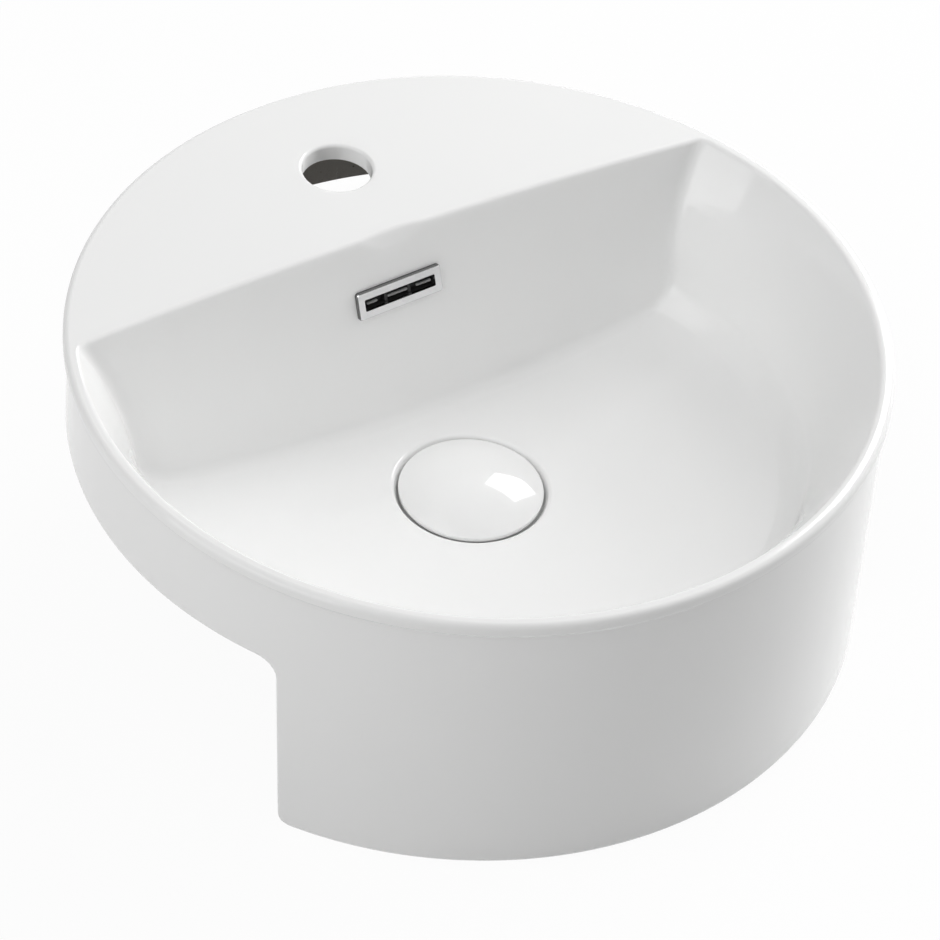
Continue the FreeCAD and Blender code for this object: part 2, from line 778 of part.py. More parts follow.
def dome_cap():
    """Low ceramic dome with an upright band, hollow below, and a flat for its carrier."""
    lip = cap_radius - cap_wall + 0.6
    half = cap_radius / 2
    crown = Part.Arc(V(0, 0, cap_top), V(half, 0, dome_height(half)), V(cap_radius, 0, cap_shoulder)).toShape()
    under_mid = (cap_flat_radius + lip) / 2
    hollow = Part.Arc(
        V(lip, 0, cap_low), V(under_mid, 0, (cap_low + cap_flat_z) / 2 + 0.8), V(cap_flat_radius, 0, cap_flat_z)
    ).toShape()
    lines = [
        (V(cap_radius, 0, cap_shoulder), V(cap_radius, 0, cap_low)),
        (V(cap_radius, 0, cap_low), V(lip, 0, cap_low)),
        (V(cap_flat_radius, 0, cap_flat_z), V(0, 0, cap_flat_z)),
        (V(0, 0, cap_flat_z), V(0, 0, cap_top)),
    ]
    segments = [Part.LineSegment(a, b).toShape() for a, b in lines]
    cap = turned_face([crown, segments[0], segments[1], hollow, segments[2], segments[3]], WASTE)
    edge = [
        e for e in cap.Edges
        if abs(e.BoundBox.XMax - cap_radius) < 0.01 and e.BoundBox.ZLength < 0.01
    ]
    return cap.makeFillet(cap_edge_round, edge)


def cap_bond():
    """Adhesive pad between carrier and ceramic."""
    return disc(bond_radius, carrier_top, cap_flat_z, WASTE)


def cap_carrier():
    """Brass disc with a threaded boss and a spigot for the seal."""
    spigot_low = carrier_low - carrier_spigot
    disc_body = turned(
        [
            (0, spigot_low),
            (carrier_spigot_radius, spigot_low),
            (carrier_spigot_radius, carrier_low),
            (carrier_radius, carrier_low),
            (carrier_radius, carrier_top),
            (0, carrier_top),
        ],
        [0, 0.4, 0, 0.5, 0.5, 0], WASTE,
    )
    boss = disc(carrier_boss_radius, carrier_low - carrier_boss_height, carrier_low + carrier_spigot / 2, WASTE)
    socket = disc(stem_radius, carrier_low - carrier_boss_height - 1, carrier_top - carrier_roof, WASTE)
    return disc_body.fuse(boss).cut(socket)


def cap_seal():
    """Rubber ring round the carrier's spigot, its lower face parallel to the flange's cone."""
    lift = cap_seal_gap * math.hypot(1, cone_pitch)

    def above_cone(radius):
        return throat_z + (radius - tube_bore_radius) * cone_pitch + lift

    low = carrier_low - cap_seal_depth
    turn_in = tube_bore_radius + (low - lift - throat_z) / cone_pitch
    return turned(
        [
            (carrier_spigot_radius, low),
            (turn_in, low),
            (cap_seal_radius, above_cone(cap_seal_radius)),
            (cap_seal_radius, carrier_low),
            (carrier_spigot_radius, carrier_low),
        ],
        [0.3, 0.4, 0.4, 0, 0], WASTE,
    )


PIECES = {
    "basin_body": basin_body,
    "overflow_trim": overflow_trim,
    "overflow_sleeve": overflow_sleeve,
    "waste_body": waste_body,
    "flange_gasket": flange_gasket,
    "lower_washer": lower_washer,
    "slip_washer": slip_washer,
    "lock_nut": lock_nut,
    "strainer_cross": strainer_cross,
    "cartridge_housing": cartridge_housing,
    "cartridge_plug": cartridge_plug,
    "click_spring": click_spring,
    "click_rotor": click_rotor,
    "click_stem": click_stem,
    "stem_seal": stem_seal,
    "cap_carrier": cap_carrier,
    "cap_seal": cap_seal,
    "cap_bond": cap_bond,
    "dome_cap": dome_cap,
}

os.makedirs("parts", exist_ok=True)
for node, make in PIECES.items():
    shape = make()
    shape.exportStep("parts/" + node + ".step")
    print(node, "solids", len(shape.Solids), "valid", shape.isValid(), "cm3", round(shape.Volume / 1000, 2))
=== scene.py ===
"""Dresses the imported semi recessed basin: numpy-built ceramic, finishes for the metal, rubber and plastic pieces,
a white studio and the photograph's camera. Lengths are worked out in millimetres and written in metres."""

from math import asin, cos, hypot, pi, radians, sin, tan

import bmesh
import bpy
import numpy as np
from mathutils import Matrix, Vector


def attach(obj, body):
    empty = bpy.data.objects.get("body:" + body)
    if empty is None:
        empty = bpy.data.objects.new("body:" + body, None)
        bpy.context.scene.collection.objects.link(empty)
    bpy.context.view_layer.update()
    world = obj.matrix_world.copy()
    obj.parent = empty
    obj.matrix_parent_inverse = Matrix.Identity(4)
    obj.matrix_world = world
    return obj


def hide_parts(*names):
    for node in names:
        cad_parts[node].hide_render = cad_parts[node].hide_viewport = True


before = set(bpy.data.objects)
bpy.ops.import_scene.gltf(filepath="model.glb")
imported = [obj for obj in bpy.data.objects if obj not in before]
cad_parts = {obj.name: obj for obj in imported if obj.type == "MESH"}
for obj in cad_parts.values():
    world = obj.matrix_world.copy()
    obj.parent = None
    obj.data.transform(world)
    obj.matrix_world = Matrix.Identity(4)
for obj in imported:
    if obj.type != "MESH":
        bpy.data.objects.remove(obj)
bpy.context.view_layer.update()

# ---------------------------------------------------------------- sizes, mm
# They are the solid model's, but for WALL_BOW and SIDE_BALL, which follow the photograph's side wall more closely,
# and the sleeve's bars, which are here only.
MM = 0.001
RIM_R, WALL_R, HOLLOW_R = 200.0, 198.0, 190.0
TOP_Z, DECK_UNDER_Z, BENCH_Z = 160.0, 151.0, 105.0
RIM_WIDTH, LIP_BALL = 6.5, 3.0
FLOOR_Z, DISH_R, FOOT_R, WALL_BOW, SIDE_BALL = 61.0, 715.0, 163.0, 5.5, 24.0
LEDGE_Y, LEDGE_R, SLOPE, BACK_BALL, BACK_BALL_UNDER = 85.0, 2400.0, radians(17), 8.0, 12.0
SHELL = 9.0
STEP_Y, DRAFT, STEP_BALL, PLATE = -103.0, tan(radians(2.8)), 9.0, 9.0
ARRIS, FOOT_BALL = 2.5, 5.0
WASTE_Y, SEAT_Z, SEAT_R, RECESS_R, HOLE_R = -4.0, 56.0, 35.5, 39.0, 22.75
BOSS_R, BOSS_Z = 37.0, 30.0
TAP_Y, TAP_R, TAP_ROUND = 139.0, 17.5, 1.8
TRIM_DOWN, TRIM_TURN = 33.0, radians(2.5)
TRIM_HALF_W, TRIM_HALF_H, TRIM_BEVEL = 24.0, 7.5, 0.7
SLOT_HALF_W, SLOT_HALF_H, SLOT_FRONT, SLOT_BACK = 22.6, 5.8, -12.0, 19.0
SLEEVE_BARS, BAR_R, BAR_BEHIND, BAR_UP = ((-17.5, -11.5), (-5.7, 5.7), (10.5, 19.2)), 0.75, 0.9, -0.7
COLUMNS = 520

# ---------------------------------------------------------------- studio
# name, azimuth and elevation in degrees, distance and size in metres, watts, whether reflections show the lamp
LAMPS = [
    ("key_softbox", 30, 36, 2.2, (0.8, 1.0), 18.8, True),
    ("side_softbox", 0, 18, 2.2, (1.3, 1.3), 26.0, False),
    ("high_right", 0, 55, 2.4, (2.2, 2.2), 12.9, False),
    ("high_left", 180, 55, 2.4, (2.4, 2.4), 19.2, True),
    ("high_front", 235, 50, 2.4, (2.4, 2.4), 8.8, True),
    ("low_left", 185, 16, 2.4, (2.0, 1.2), 12.6, True),
]
CAMERA_TURN, CAMERA_LIFT, CAMERA_ROLL = radians(-34.4346), radians(42.7116), radians(5.3362)
CAMERA_AIM, CAMERA_AWAY = (-0.26899 * RIM_R, -0.40020 * RIM_R, TOP_Z), 12 * RIM_R
CAMERA_FOCAL_PX, PHOTO_PX, SENSOR = 5150.62, 940, 36.0


# ---------------------------------------------------------------- meshes from arrays
def make_piece(name, points, faces, body="basin", materials=(), face_slots=None, crease=32):
    """A mesh object at the origin from points in millimetres and lists of corners."""
    mesh = bpy.data.meshes.new(name)
    mesh.from_pydata((np.asarray(points) * MM).tolist(), [], [list(f) for f in faces])
    for material in materials:
        mesh.materials.append(material)
    if face_slots is not None:
        mesh.polygons.foreach_set("material_index", np.asarray(face_slots, dtype=np.int32))
    tidy = bmesh.new()
    tidy.from_mesh(mesh)
    bmesh.ops.remove_doubles(tidy, verts=tidy.verts, dist=0.002 * MM)
    bmesh.ops.dissolve_degenerate(tidy, edges=tidy.edges, dist=0.001 * MM)
    if tidy.calc_volume(signed=True) < 0:
        bmesh.ops.reverse_faces(tidy, faces=tidy.faces)
    tidy.to_mesh(mesh)
    tidy.free()
    smooth(mesh, crease)
    piece = bpy.data.objects.new(name, mesh)
    bpy.context.scene.collection.objects.link(piece)
    return piece


def smooth(mesh, crease):
    """Smooth shading, with edges sharper than an angle in degrees kept sharp."""
    mesh.polygons.foreach_set("use_smooth", np.ones(len(mesh.polygons), dtype=bool))
    mesh.set_sharp_from_angle(angle=radians(crease))
    mesh.update()


def ring_faces(columns, rows):
    """Quads of a grid of columns by rows that closes on itself both ways."""
    i = np.arange(columns)[:, None]
    j = np.arange(rows)[None, :]
    i2, j2 = (i + 1) % columns, (j + 1) % rows
    quads = np.stack([i * rows + j, i2 * rows + j, i2 * rows + j2, i * rows + j2], axis=-1)
    return quads.reshape(-1, 4)


def tube_faces(columns, rows, first=0):
    """Faces of a row of closed outlines that doesn't meet itself, with an end face on its first and last outline."""
    sides = ring_faces(columns, rows)
    sides = sides[sides[:, 0] // rows != columns - 1] + first
    near = first + np.arange(rows)
    far = near[::-1] + (columns - 1) * rows
    return sides.tolist() + [near.tolist(), far.tolist()]


def rounded(corners, balls, steps=6):
    """A polyline whose corners are turned by arcs: each arc starts ball/tan(half angle) before its corner."""
    corners = np.asarray(corners, dtype=float)
    out = []
    for k, corner in enumerate(corners):
        ball = balls[k]
        if ball <= 0 or k in (0, len(corners) - 1):
            out.append(corner[None])
            continue
        back = corners[k - 1] - corner
        on = corners[k + 1] - corner
        back, on = back / np.hypot(*back), on / np.hypot(*on)
        half = np.arccos(np.clip(back @ on, -1, 1)) / 2
        middle = (back + on) / np.hypot(*(back + on))
        centre = corner + middle * ball / np.sin(half)
        first = corner + back * ball / np.tan(half) - centre
        last = corner + on * ball / np.tan(half) - centre
        turn = np.arctan2(first[0] * last[1] - first[1] * last[0], first @ last)
        a = np.linspace(0, turn, steps + 1)[:, None]
        across = np.array([-first[1], first[0]])
        out.append(centre + first * np.cos(a) + across * np.sin(a))
    return np.concatenate(out)


def turned(name, profile, centre=(0.0, WASTE_Y), columns=128, **finish):
    """A closed (radius, height) outline carried round an upright axis."""
    profile = np.asarray(profile)
    a = np.linspace(0, 2 * pi, columns, endpoint=False)[:, None]
    points = np.stack([
        centre[0] + profile[None, :, 0] * np.cos(a),
        centre[1] + profile[None, :, 0] * np.sin(a),
        np.broadcast_to(profile[None, :, 1], (columns, len(profile))),
    ], axis=-1).reshape(-1, 3)
    return make_piece(name, points, ring_faces(columns, len(profile)), **finish)


# ---------------------------------------------------------------- the bowl as distances
def rolled(a, na, b, nb, ball):
    """Distance into the space that two walls bound, its corner rounded by a rolling ball, and the gradient.

    With u = ball - a and v = ball - b the offsets from the ball's centre line and k the cosine between the walls'
    gradients, the corner lies at ball - sqrt((u^2 + v^2 - 2kuv) / (1 - k^2)); elsewhere the nearer wall counts.
    """
    k = np.clip((na * nb).sum(-1), -0.9995, 0.9995)
    u, v, det = ball - a, ball - b, 1 - k * k
    alpha, beta = (u - k * v) / det, (v - k * u) / det
    reach = np.sqrt(np.maximum((u * u + v * v - 2 * k * u * v) / det, 1e-9))
    corner = (alpha > 0) & (beta > 0)
    distance = np.where(corner, ball - reach, np.minimum(a, b))
    plain = np.where((a < b)[..., None], na, nb)
    bent = (alpha[..., None] * na + beta[..., None] * nb) / reach[..., None]
    return distance, np.where(corner[..., None], bent, plain)


def dish_height(r, grow=0.0):
    """Height of the dished floor: centre - sqrt(R^2 - r^2)."""
    dish = DISH_R + grow
    return FLOOR_Z - grow + dish - np.sqrt(dish ** 2 - r ** 2)


def floor_distance(p, grow):
    """Distance above the floor's sphere, and its gradient."""
    dish = DISH_R + grow
    arm = p - np.array([0, 0, FLOOR_Z - grow + dish])
    length = np.linalg.norm(arm, axis=-1)
    return dish - length, -arm / length[..., None]


def side_distance(p, grow):
    """Distance inside the turned side wall, an arc that bows towards the room, and its gradient."""
    top = np.array([RIM_R - RIM_WIDTH + grow, TOP_Z])
    foot = np.array([FOOT_R + grow, dish_height(FOOT_R + grow, grow)])
    chord = foot - top
    length = np.hypot(*chord)
    out = np.array([-chord[1], chord[0]]) / length
    arc = (length ** 2 / 4 + WALL_BOW ** 2) / (2 * WALL_BOW)
    centre = (top + foot) / 2 + out * (arc - WALL_BOW)
    r = np.maximum(np.hypot(p[..., 0], p[..., 1]), 1e-6)
    away = np.stack([r - centre[0], p[..., 2] - centre[1]], -1)
    reach = np.linalg.norm(away, axis=-1)
    away = away / reach[..., None]
    gradient = np.stack([away[..., 0] * p[..., 0] / r, away[..., 0] * p[..., 1] / r, away[..., 1]], -1)
    return reach - arc, gradient


def back_distance(p, grow):
    """Distance in front of the slanted, slightly bowed back wall, and its gradient."""
    across = np.array([0, cos(SLOPE), -sin(SLOPE)])
    middle = np.array([0, LEDGE_Y, TOP_Z]) - across * LEDGE_R
    b = (p - middle) @ across
    reach = np.hypot(p[..., 0], b)
    gradient = -(p[..., :1] * np.array([1.0, 0, 0]) + b[..., None] * across) / reach[..., None]
    return LEDGE_R + grow - reach, gradient


def bowl_room(p, grow=0.0):
    """Distance into the bowl's room, or into that room grown outward by the shell, and its gradient."""
    drum = rolled(*floor_distance(p, grow), *side_distance(p, grow), SIDE_BALL + grow)
    return rolled(*drum, *back_distance(p, grow), BACK_BALL_UNDER if grow else BACK_BALL)


def recess_room(p):
    """Distance into the waste's recess, a seat and a cone with a 2 mm round between, and its gradient."""
    rise, run = FLOOR_Z + 1.56 - SEAT_Z, RECESS_R - SEAT_R
    slant = hypot(rise, run)
    away = p[..., :2] - np.array([0, WASTE_Y])
    r = np.maximum(np.linalg.norm(away, axis=-1), 1e-6)
    cone = (SEAT_R + (p[..., 2] - SEAT_Z) * run / rise - r) * rise / slant
    n_cone = np.concatenate([-away / r[..., None] * rise / slant, np.full(r.shape + (1,), run / slant)], -1)
    up = np.zeros_like(p)
    up[..., 2] = 1
    return rolled(p[..., 2] - SEAT_Z, up, cone, n_cone, 2.0)


def glazed_side(p):
    """Distance into the ceramic from above: below the rim plane, outside the bowl's room and outside the recess."""
    room, n_room = bowl_room(p)
    recess, n_recess = recess_room(p)
    ceramic, n_ceramic = rolled(-room, -n_room, -recess, -n_recess, 2.5)
    down = np.zeros_like(p)
    down[..., 2] = -1
    return rolled(TOP_Z - p[..., 2], down, ceramic, n_ceramic, LIP_BALL)[0]


def settle(x, y, solid, low, high, halvings=34):
    """Heights where a distance changes from inside below to outside above, by halving the span."""
    low, high = np.full(x.shape, float(low)), np.full(x.shape, float(high))
    for _ in range(halvings):
        z = (low + high) / 2
        inside = solid(np.stack([x, y, z], -1)) > 0
        low, high = np.where(inside, z, low), np.where(inside, high, z)
    return (low + high) / 2


def reach_of(direction, test, near, far, halvings=34):
    """Distance from the waste's axis at which a test along each plan direction turns from positive to negative."""
    near, far = np.full(len(direction), float(near)), np.full(len(direction), float(far))
    for _ in range(halvings):
        t = (near + far) / 2
        inside = test(direction * t[:, None] + np.array([0, WASTE_Y])) > 0
        near, far = np.where(inside, t, near), np.where(inside, far, t)
    return (near + far) / 2


def walls_at(height, grow):
    """A plan test: positive inside both the side wall and the back wall, at a height that follows the plan."""
    def test(xy):
        p = np.concatenate([xy, height(np.hypot(xy[:, 0], xy[:, 1]))[:, None]], 1)
        return np.minimum(side_distance(p, grow)[0], back_distance(p, grow)[0])
    return test


def level(z):
    """A height that is the same all over the plan."""
    return lambda r: np.full(r.shape, z)


def under_side(p):
    """Distance out of the bowl's room grown by the shell, so that the shell's under side is where it is 0."""
    return -bowl_room(p, SHELL)[0]


def circle_reach(direction, radius):
    """Distance from the waste's axis to a circle round the basin's axis, along plan directions."""
    b = direction[:, 1] * WASTE_Y
    return -b + np.sqrt(b * b + radius ** 2 - WASTE_Y ** 2)


def spread(stops, counts):
    """Rows of values between stop arrays, with an even count of steps in each span and each stop kept once."""
    rows = []
    for k, count in enumerate(counts):
        share = np.arange(count)[None, :] / count
        rows.append(stops[k][:, None] * (1 - share) + stops[k + 1][:, None] * share)
    rows.append(stops[-1][:, None])
    return np.concatenate(rows, 1)


# ---------------------------------------------------------------- columns round the basin
def column_directions():
    """Plan directions of the columns, from the front round by the right, three times closer at the bowl's corners."""
    fine = np.linspace(-pi / 2, pi / 2, 4001)
    weight = 1 + 3.0 * np.exp(-((fine - radians(23.5)) / radians(4.5)) ** 4)
    share = np.concatenate([[0], np.cumsum((weight[1:] + weight[:-1]) / 2)])
    half = np.interp(np.linspace(0, share[-1], COLUMNS // 2 + 1), share, fine)
    angles = np.concatenate([half, (pi - half)[-2:0:-1]])
    return np.stack([np.cos(angles), np.sin(angles)], 1)


def lower_edge(azimuth):
    """The wall's lower edge for columns at an azimuth: (azimuth, height, push sideways, push up) along its outline.

    The outline runs along z = 0 at the front, up the drafted step and back along the skirt's seat. It is drawn once
    for the right half, as (arc length, height) on the unrolled wall, and mirrored for the left.
    """
    foot_y = STEP_Y - BENCH_Z * DRAFT
    side = rounded(
        [(-175, 0), (foot_y, 0), (STEP_Y, BENCH_Z), (-60, BENCH_Z)], [0, FOOT_BALL + 1.5, STEP_BALL, 0], 24
    )[1:-1]
    front = np.linspace(-pi / 2, asin(side[0, 0] / WALL_R), 200)[:-1]
    rear = np.linspace(asin(side[-1, 0] / WALL_R), pi / 2, 400)[1:]
    psi = np.concatenate([front, np.arcsin(side[:, 0] / WALL_R), rear])
    z = np.concatenate([np.zeros(len(front)), side[:, 1], np.full(len(rear), BENCH_Z)])
    s = psi * WALL_R
    run = np.concatenate([[0], np.cumsum(np.hypot(np.diff(s), np.diff(z)))])
    marks = run[[0, len(front), len(front) + 24, len(front) + 25, len(front) + 49, len(run) - 1]]
    tops = np.radians([-90, -62, -58, -32.6, -28.2, 90])
    half_azimuth = np.where(np.cos(azimuth) < -1e-9, pi - azimuth, azimuth)
    half_azimuth = (half_azimuth + pi / 2) % (2 * pi) - pi / 2
    along = np.interp(half_azimuth, tops, marks)
    here = np.interp(along, run, s), np.interp(along, run, z)
    ahead = np.interp(along + 0.4, run, s), np.interp(along + 0.4, run, z)
    before = np.interp(along - 0.4, run, s), np.interp(along - 0.4, run, z)
    ds, dz = ahead[0] - before[0], ahead[1] - before[1]
    length = np.maximum(np.hypot(ds, dz), 1e-9)
    return here[0] / WALL_R, here[1], -dz / length, ds / length


def wall_point(psi, z, radius, left):
    """Points on the wall from azimuth on the right half, mirrored for columns of the left half."""
    x = radius * np.cos(psi)
    return np.stack([np.where(left, -x, x), radius * np.sin(psi), np.broadcast_to(z, psi.shape)], -1)


def basin_shell(glaze, biscuit):
    """The one-piece ceramic shell as a closed grid: each column runs from the hidden top of the wall's inner face down
    to the lower edge, up the outside, over the bead, across the deck, down the bowl to the waste hole, and back
    under the floor and the deck."""
    direction = column_directions()
    left = direction[:, 0] < -1e-9
    rim_reach = circle_reach(direction, RIM_R - LIP_BALL)
    rim_xy = direction * rim_reach[:, None] + np.array([0, WASTE_Y])
    inner_reach = circle_reach(direction, HOLLOW_R)
    inner_xy = direction * inner_reach[:, None] + np.array([0, WASTE_Y])
    azimuth = np.arctan2(rim_xy[:, 1], np.abs(rim_xy[:, 0]))
    inner_azimuth = np.arctan2(inner_xy[:, 1], np.abs(inner_xy[:, 0]))

    # under side, from the waste hole outwards
    under_foot = reach_of(direction, walls_at(lambda r: dish_height(r, SHELL), SHELL), 30, 230)
    under_deck = np.minimum(reach_of(direction, walls_at(level(DECK_UNDER_Z), SHELL), 30, 260), inner_reach)
    hole = np.full(len(direction), HOLE_R)
    under = spread([hole, under_foot - 20, under_foot + 5, under_deck, inner_reach], [5, 12, 10, 3])
    ux = direction[:, :1] * under
    uy = direction[:, 1:] * under + WASTE_Y
    uz = np.minimum(settle(ux, uy, under_side, 15, 420), DECK_UNDER_Z)
    under_points = np.stack([ux, uy, uz], -1)
    inner_top = uz[:, -1]

    # lower edge, inner face, end face and rounded arris
    edge_psi, edge_z, push_s, push_z = lower_edge(azimuth)
    ball = ARRIS + (FOOT_BALL - ARRIS) * np.clip(1 - edge_z / 8, 0, 1)
    thick = WALL_R - HOLLOW_R

    def edge_point(depth, inset):
        """A point of the edge's section, at a depth into the wall and an inset along it."""
        radius = WALL_R - depth
        level_y = np.arcsin(np.clip(WALL_R * np.sin(edge_psi) / radius, -1, 1)) - edge_psi
        psi = edge_psi + np.abs(push_s) * level_y + push_s * inset / WALL_R
        return wall_point(psi, edge_z + push_z * inset, radius, left), psi

    inner_foot, inner_psi = edge_point(thick, 0.0)
    share = np.linspace(0, 1, 8, endpoint=False)[None, :]
    psi = inner_azimuth[:, None] * (1 - share) + inner_psi[:, None] * share
    z = inner_top[:, None] * (1 - share) + edge_z[:, None] * share
    inner_rows = wall_point(psi, z, HOLLOW_R, left[:, None])
    end_rows = [edge_point(thick * (1 - k) + ball * k, 0.0)[0] for k in (0.0, 0.5)]
    arc_rows = [edge_point(ball * (1 - cos(a)), ball * (1 - sin(a)))[0] for a in np.linspace(pi / 2, 0, 7)]
    top_psi = edge_point(0.0, ball)[1]

    # outer face up to the bead, then the bead
    share = np.linspace(0, 1, 15)[None, 1:]
    psi = top_psi[:, None] * (1 - share) + azimuth[:, None] * share
    z = (edge_z + push_z * ball)[:, None] * (1 - share) + 148.0 * share
    outer_rows = wall_point(psi, z, WALL_R, left[:, None])
    bead = rounded(
        [(WALL_R, 148), (WALL_R, 152), (RIM_R, 154), (RIM_R, TOP_Z), (RIM_R - LIP_BALL, TOP_Z)],
        [0, 2.0, 1.0, LIP_BALL - 0.01, 0], 5,
    )[1:-1]
    spin = np.stack([np.where(left, -np.cos(azimuth), np.cos(azimuth)), np.sin(azimuth)], 1)
    bead_rows = np.concatenate([
        spin[:, None, :] * bead[None, :, :1],
        np.broadcast_to(bead[None, :, 1:], (len(direction), len(bead), 1)),
    ], -1)

    # glazed top, from the rim inwards
    lip = reach_of(direction, walls_at(level(TOP_Z), 0), 30, 230)
    foot = reach_of(direction, walls_at(dish_height, 0), 30, 230)
    lip_out = lip + np.minimum(4.0, 0.72 * (rim_reach - lip))
    ones = np.ones(len(direction))
    stops = [rim_reach, lip_out, lip - 2.4, foot + 3.6, foot - 11, 45 * ones, 41.3 * ones, 36.2 * ones, 34.2 * ones,
             HOLE_R * ones]
    top = spread(stops, [6, 9, 15, 14, 12, 3, 9, 6, 3])
    tx = direction[:, :1] * top
    ty = direction[:, 1:] * top + WASTE_Y
    tz = settle(tx, ty, glazed_side, 40, 166)
    top_points = np.stack([tx, ty, tz], -1)
    top_points[:, -1, 2] = SEAT_Z
    top_points[:, 0, 2] = TOP_Z

    edge_rows = np.stack(end_rows + arc_rows, 1)
    grid = np.concatenate([inner_rows, edge_rows, outer_rows, bead_rows, top_points, under_points], 1)
    rows = grid.shape[1]
    faces = ring_faces(len(direction), rows)
    glazed_from = inner_rows.shape[1] + len(end_rows)
    glazed_to = rows - under_points.shape[1] - 1
    j = np.tile(np.arange(rows), len(direction))
    slots = np.where((j >= glazed_from) & (j < glazed_to), 0, 1)
    points = grid.reshape(-1, 3)
    return make_piece("basin_shell", points, faces, materials=[glaze, biscuit], face_slots=slots, crease=38)


# ---------------------------------------------------------------- cuts through the ceramic
def on_back_wall(down, behind=0.0):
    """(y, z) of a point on the centre line, down the back wall from the rim plane and behind its surface."""
    return (LEDGE_Y - down * sin(SLOPE) + behind * cos(SLOPE), TOP_Z - down * cos(SLOPE) - behind * sin(SLOPE))


def trim_frame():
    """The overflow trim's middle on the back wall, and its own axes as the columns of a turn."""
    y, z = on_back_wall(TRIM_DOWN)
    return np.array([0, y, z]), np.array(Matrix.Rotation(-SLOPE, 3, "X") @ Matrix.Rotation(-TRIM_TURN, 3, "Y"))


def slot_block(half_w, half_h, front, back):
    """Eight corners of a block square to the back wall at the overflow, turned with the trim."""
    corners = np.array([(x, y, z) for x in (-half_w, half_w) for y in (front, back) for z in (-half_h, half_h)], float)
    middle, turn = trim_frame()
    return corners @ turn.T + middle


def slot_cutter(material):
    """The block that opens the overflow's slot."""
    corners = slot_block(SLOT_HALF_W, SLOT_HALF_H, SLOT_FRONT, SLOT_BACK)
    return make_piece("slot_cutter", corners, BLOCK_FACES, materials=[material])


BLOCK_FACES = [(0, 1, 3, 2), (4, 6, 7, 5), (0, 4, 5, 1), (2, 3, 7, 6), (0, 2, 6, 4), (1, 5, 7, 3)]


def carve(piece, cutter):
    """Takes a cutter's room out of a piece and drops the cutter."""
    cut = piece.modifiers.new("cut", "BOOLEAN")
    cut.operation = "DIFFERENCE"
    cut.solver = "EXACT"
    cut.object = cutter
    bpy.context.view_layer.update()
    result = bpy.data.meshes.new_from_object(piece.evaluated_get(bpy.context.evaluated_depsgraph_get()))
    old = piece.data
    piece.modifiers.clear()
    piece.data = result
    bpy.data.meshes.remove(old)
    bpy.data.objects.remove(cutter)
    smooth(piece.data, 38)


def tap_cutter(material):
    """The tap hole with its rounded mouth: a quarter round that stops just short of level, so that it cuts cleanly."""
    a = np.linspace(0, radians(84), 9)
    mouth = np.stack([TAP_R + TAP_ROUND * (1 - np.cos(a)), TOP_Z - TAP_ROUND + TAP_ROUND * np.sin(a)], 1)
    last = mouth[-1] + np.array([sin(radians(84)), cos(radians(84))]) * 3
    outline = np.concatenate([[(0.01, DECK_UNDER_Z - 6), (TAP_R, DECK_UNDER_Z - 6)], mouth, [last, (0.01, last[1])]])
    return turned("tap_cutter", outline, centre=(0.0, TAP_Y), columns=96, materials=[material])


# ---------------------------------------------------------------- the other ceramic forms
def waste_boss(biscuit):
    """The thick ring under the floor that the waste clamps on."""
    outline = rounded(
        [(HOLE_R, 40), (HOLE_R, BOSS_Z), (BOSS_R, BOSS_Z), (BOSS_R, 53.6), (HOLE_R, 53.6), (HOLE_R, 40)],
        [0, 0.8, 1.5, 0, 0, 0],
    )[:-1]
    return turned("waste_boss", outline, materials=[biscuit])


def apron_back(biscuit):
    """The apron's back plate: columns across x, each a closed outline of rounded foot, rear face up and front face
    down. Both faces lean by the draft, y = step - (bench - z) * draft, and end inside the shell over them."""
    middle_y = STEP_Y - 5.0
    half = np.sqrt(HOLLOW_R ** 2 - middle_y ** 2) - 0.02
    x = half * np.sin(np.linspace(-1, 1, 121)) / sin(1.0)
    roof = settle(x, np.full(x.shape, middle_y - PLATE / 2), under_side, 15, 420) + 3.5
    roof = np.minimum(roof, DECK_UNDER_Z + 2)
    share = np.linspace(0, 1, 25)
    rear_z = np.maximum(share[1:] * roof[:, None], FOOT_BALL)
    front_z = share[::-1] * roof[:, None]
    a = np.linspace(0, pi / 2, 7)
    foot_z = np.broadcast_to(FOOT_BALL * (1 - np.cos(a)), (len(x), 7))
    foot_y = np.broadcast_to(STEP_Y - BENCH_Z * DRAFT - FOOT_BALL * (1 - np.sin(a)), (len(x), 7))
    rear_y = STEP_Y - (BENCH_Z - rear_z) * DRAFT
    front_y = STEP_Y - (BENCH_Z - front_z) * DRAFT - PLATE
    y = np.concatenate([foot_y, rear_y, front_y], 1)
    z = np.concatenate([foot_z, rear_z, front_z], 1)
    grid = np.stack([np.broadcast_to(x[:, None], y.shape), y, z], -1)
    return make_piece("apron_back", grid.reshape(-1, 3), tube_faces(*y.shape), materials=[biscuit])


